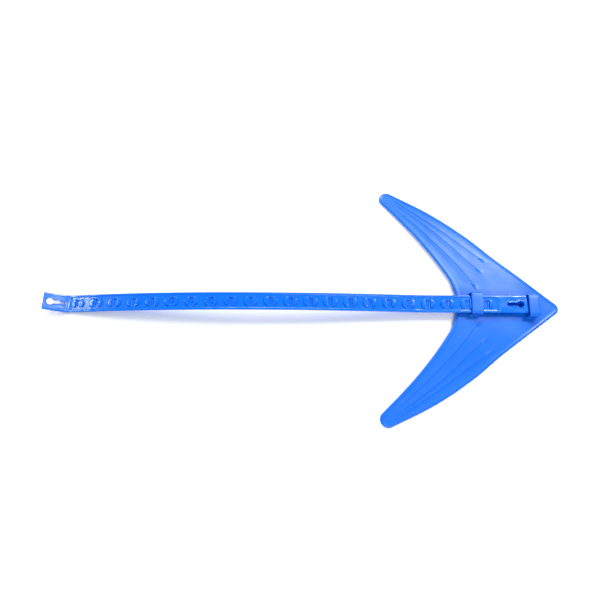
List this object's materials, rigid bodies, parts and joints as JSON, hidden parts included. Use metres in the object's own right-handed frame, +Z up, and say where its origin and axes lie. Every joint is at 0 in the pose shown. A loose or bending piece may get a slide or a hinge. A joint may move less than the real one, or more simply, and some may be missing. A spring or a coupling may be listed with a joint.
{
  "type": "pool cover strap anchor",
  "caption": "Thin moulded arrow-shaped anchor plate with two loops, and a flexible pocketed strap with keyholed ends threaded through them.",
  "frame": {"origin": "bottom centre of the whole object's box, as it lies on a table", "axes": "+X along the strap, from its bent tab to the point of the arrow plate; +Z up, out of the plate, on the side of the loops"},
  "size_m": [0.6334, 0.3034, 0.0226],
  "materials": {
    "plate_polyethylene": "satin moulded blue polyethylene, 2 mm",
    "strap_polyethylene": "semi-gloss moulded blue polyethylene, 2.4 mm"
  },
  "bodies": {
    "crown": {"arrow_crown": "plate_polyethylene"},
    "fluke_left": {"fluke_left": "plate_polyethylene"},
    "fluke_right": {"fluke_right": "plate_polyethylene"},
    "strap_tail": {"strap_tail": "strap_polyethylene"},
    "strap_stretch_01": {"strap_stretch_01": "strap_polyethylene"},
    "strap_stretch_02": {"strap_stretch_02": "strap_polyethylene"},
    "strap_stretch_03": {"strap_stretch_03": "strap_polyethylene"},
    "strap_stretch_04": {"strap_stretch_04": "strap_polyethylene"},
    "strap_stretch_05": {"strap_stretch_05": "strap_polyethylene"},
    "strap_stretch_06": {"strap_stretch_06": "strap_polyethylene"},
    "strap_stretch_07": {"strap_stretch_07": "strap_polyethylene"},
    "strap_stretch_08": {"strap_stretch_08": "strap_polyethylene"},
    "strap_stretch_09": {"strap_stretch_09": "strap_polyethylene"},
    "strap_stretch_10": {"strap_stretch_10": "strap_polyethylene"},
    "strap_stretch_11": {"strap_stretch_11": "strap_polyethylene"},
    "strap_stretch_12": {"strap_stretch_12": "strap_polyethylene"},
    "strap_stretch_13": {"strap_stretch_13": "strap_polyethylene"},
    "strap_stretch_14": {"strap_stretch_14": "strap_polyethylene"},
    "strap_stretch_15": {"strap_stretch_15": "strap_polyethylene"},
    "strap_stretch_16": {"strap_stretch_16": "strap_polyethylene"},
    "strap_stretch_17": {"strap_stretch_17": "strap_polyethylene"},
    "strap_stretch_18": {"strap_stretch_18": "strap_polyethylene"},
    "strap_neck": {"strap_neck": "strap_polyethylene"},
    "strap_tab": {"strap_tab": "strap_polyethylene"}
  },
  "joints": [
    {"name": "fluke_left_flex", "type": "hinge", "parent": "crown", "child": "fluke_left", "pos_m": [0.20492, 0.05044, 0.00466], "axis": [0.6561, 0.7546, -0.01], "range_deg": [0, 35], "stiffness_Nm_per_rad": 0.3},
    {"name": "fluke_right_flex", "type": "hinge", "parent": "crown", "child": "fluke_right", "pos_m": [0.20075, -0.05797, 0.00466], "axis": [-0.5962, 0.8027, 0.01], "range_deg": [0, 35], "stiffness_Nm_per_rad": 0.3},
    {"name": "strap_slide", "type": "slide", "parent": "crown", "child": "strap_tail", "axis": [1, 0, 0], "range_m": [-0.05, 0.03]},
    {"name": "strap_curl_01", "type": "hinge", "parent": "strap_tail", "child": "strap_stretch_01", "pos_m": [0.15215, -0.00524, 0.0124], "axis": [0, 1, 0], "range_deg": [0, 14], "stiffness_Nm_per_rad": 0.2},
    {"name": "strap_curl_02", "type": "hinge", "parent": "strap_stretch_01", "child": "strap_stretch_02", "pos_m": [0.12818, -0.00524, 0.01371], "axis": [0, 1, 0], "range_deg": [0, 14], "stiffness_Nm_per_rad": 0.2},
    {"name": "strap_curl_03", "type": "hinge", "parent": "strap_stretch_02", "child": "strap_stretch_03", "pos_m": [0.10424, -0.00524, 0.0153], "axis": [0, 1, 0], "range_deg": [0, 14], "stiffness_Nm_per_rad": 0.2},
    {"name": "strap_curl_04", "type": "hinge", "parent": "strap_stretch_03", "child": "strap_stretch_04", "pos_m": [0.08029, -0.00524, 0.01684], "axis": [0, 1, 0], "range_deg": [0, 14], "stiffness_Nm_per_rad": 0.2},
    {"name": "strap_curl_05", "type": "hinge", "parent": "strap_stretch_04", "child": "strap_stretch_05", "pos_m": [0.05633, -0.00524, 0.01824], "axis": [0, 1, 0], "range_deg": [0, 14], "stiffness_Nm_per_rad": 0.2},
    {"name": "strap_curl_06", "type": "hinge", "parent": "strap_stretch_05", "child": "strap_stretch_06", "pos_m": [0.03236, -0.00524, 0.01942], "axis": [0, 1, 0], "range_deg": [0, 14], "stiffness_Nm_per_rad": 0.2},
    {"name": "strap_curl_07", "type": "hinge", "parent": "strap_stretch_06", "child": "strap_stretch_07", "pos_m": [0.00838, -0.00524, 0.02036], "axis": [0, 1, 0], "range_deg": [0, 14], "stiffness_Nm_per_rad": 0.2},
    {"name": "strap_curl_08", "type": "hinge", "parent": "strap_stretch_07", "child": "strap_stretch_08", "pos_m": [-0.01562, -0.00524, 0.02101], "axis": [0, 1, 0], "range_deg": [0, 14], "stiffness_Nm_per_rad": 0.2},
    {"name": "strap_curl_09", "type": "hinge", "parent": "strap_stretch_08", "child": "strap_stretch_09", "pos_m": [-0.03961, -0.00524, 0.02136], "axis": [0, 1, 0], "range_deg": [0, 14], "stiffness_Nm_per_rad": 0.2},
    {"name": "strap_curl_10", "type": "hinge", "parent": "strap_stretch_09", "child": "strap_stretch_10", "pos_m": [-0.06361, -0.00524, 0.02138], "axis": [0, 1, 0], "range_deg": [0, 14], "stiffness_Nm_per_rad": 0.2},
    {"name": "strap_curl_11", "type": "hinge", "parent": "strap_stretch_10", "child": "strap_stretch_11", "pos_m": [-0.08761, -0.00524, 0.02106], "axis": [0, 1, 0], "range_deg": [0, 14], "stiffness_Nm_per_rad": 0.2},
    {"name": "strap_curl_12", "type": "hinge", "parent": "strap_stretch_11", "child": "strap_stretch_12", "pos_m": [-0.1116, -0.00524, 0.02038], "axis": [0, 1, 0], "range_deg": [0, 14], "stiffness_Nm_per_rad": 0.2},
    {"name": "strap_curl_13", "type": "hinge", "parent": "strap_stretch_12", "child": "strap_stretch_13", "pos_m": [-0.13558, -0.00524, 0.01933], "axis": [0, 1, 0], "range_deg": [0, 14], "stiffness_Nm_per_rad": 0.2},
    {"name": "strap_curl_14", "type": "hinge", "parent": "strap_stretch_13", "child": "strap_stretch_14", "pos_m": [-0.15954, -0.00524, 0.01789], "axis": [0, 1, 0], "range_deg": [0, 14], "stiffness_Nm_per_rad": 0.2},
    {"name": "strap_curl_15", "type": "hinge", "parent": "strap_stretch_14", "child": "strap_stretch_15", "pos_m": [-0.18346, -0.00524, 0.01606], "axis": [0, 1, 0], "range_deg": [0, 14], "stiffness_Nm_per_rad": 0.2},
    {"name": "strap_curl_16", "type": "hinge", "parent": "strap_stretch_15", "child": "strap_stretch_16", "pos_m": [-0.20736, -0.00524, 0.01383], "axis": [0, 1, 0], "range_deg": [0, 14], "stiffness_Nm_per_rad": 0.2},
    {"name": "strap_curl_17", "type": "hinge", "parent": "strap_stretch_16", "child": "strap_stretch_17", "pos_m": [-0.23121, -0.00524, 0.01118], "axis": [0, 1, 0], "range_deg": [0, 14], "stiffness_Nm_per_rad": 0.2},
    {"name": "strap_curl_18", "type": "hinge", "parent": "strap_stretch_17", "child": "strap_stretch_18", "pos_m": [-0.25502, -0.00524, 0.0081], "axis": [0, 1, 0], "range_deg": [0, 14], "stiffness_Nm_per_rad": 0.2},
    {"name": "strap_curl_19", "type": "hinge", "parent": "strap_stretch_18", "child": "strap_neck", "pos_m": [-0.27876, -0.00524, 0.0046], "axis": [0, 1, 0], "range_deg": [0, 14], "stiffness_Nm_per_rad": 0.2},
    {"name": "tab_fold", "type": "hinge", "parent": "strap_neck", "child": "strap_tab", "pos_m": [-0.29309, -0.00524, 0.0024], "axis": [0, 1, 0], "range_deg": [-34, 60], "stiffness_Nm_per_rad": 0.2}
  ],
  "couplings": [
    {"joint": "strap_curl_02", "follows": "strap_curl_01", "ratio": 1},
    {"joint": "strap_curl_03", "follows": "strap_curl_01", "ratio": 1},
    {"joint": "strap_curl_04", "follows": "strap_curl_01", "ratio": 1},
    {"joint": "strap_curl_05", "follows": "strap_curl_01", "ratio": 1},
    {"joint": "strap_curl_06", "follows": "strap_curl_01", "ratio": 1},
    {"joint": "strap_curl_08", "follows": "strap_curl_07", "ratio": 1},
    {"joint": "strap_curl_09", "follows": "strap_curl_07", "ratio": 1},
    {"joint": "strap_curl_10", "follows": "strap_curl_07", "ratio": 1},
    {"joint": "strap_curl_11", "follows": "strap_curl_07", "ratio": 1},
    {"joint": "strap_curl_12", "follows": "strap_curl_07", "ratio": 1},
    {"joint": "strap_curl_14", "follows": "strap_curl_13", "ratio": 1},
    {"joint": "strap_curl_15", "follows": "strap_curl_13", "ratio": 1},
    {"joint": "strap_curl_16", "follows": "strap_curl_13", "ratio": 1},
    {"joint": "strap_curl_17", "follows": "strap_curl_13", "ratio": 1},
    {"joint": "strap_curl_18", "follows": "strap_curl_13", "ratio": 1},
    {"joint": "strap_curl_19", "follows": "strap_curl_13", "ratio": 1}
  ]
}
